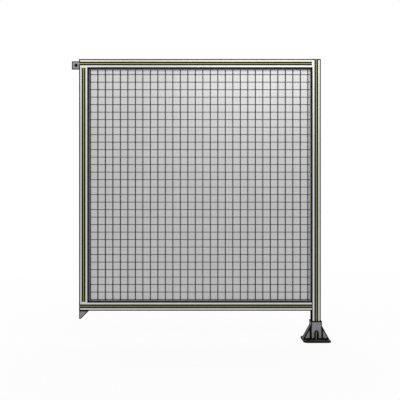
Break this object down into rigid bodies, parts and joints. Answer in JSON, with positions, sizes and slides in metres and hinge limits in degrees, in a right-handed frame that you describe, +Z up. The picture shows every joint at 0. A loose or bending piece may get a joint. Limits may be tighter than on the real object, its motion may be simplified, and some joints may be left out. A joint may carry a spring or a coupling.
{
  "type": "mesh fence panel",
  "caption": "Guard fence panel: slotted aluminium frame round a wire mesh on a sheet, its post in a cast floor foot, with a joint plate and a corner bracket on the free side.",
  "frame": {"origin": "centre of the foot's flat underside, on the post's axis", "axes": "+Z up the post, the panel runs from the post towards -X, and its front faces -Y"},
  "size_m": [1.2897, 0.135, 1.4],
  "materials": {
    "profile": "extruded, natural anodised, satin",
    "cover_strip": "extruded, olive, semi-matt",
    "gasket": "extruded grey rubber",
    "wire": "black coated",
    "sheet": "thin, rolled, pale grey, matt",
    "casting": "die cast, grey, fine blasted",
    "plate": "zinc plated"
  },
  "bodies": {
    "root": {"right_post": "profile", "top_rail": "profile", "bottom_rail": "profile", "left_stile": "profile", "front_strip_post": "cover_strip", "front_strip_stile": "cover_strip", "front_strip_top_rail": "cover_strip", "front_strip_bottom_rail": "cover_strip", "back_strip_post": "cover_strip", "back_strip_stile": "cover_strip", "back_strip_top_rail": "cover_strip", "back_strip_bottom_rail": "cover_strip", "top_gasket": "gasket", "bottom_gasket": "gasket", "left_gasket": "gasket", "right_gasket": "gasket", "upright_wires": "wire", "cross_wires": "wire", "backing_sheet": "sheet", "foot": "casting", "corner_bracket": "casting", "joint_plate": "plate"}
  },
  "joints": []
}
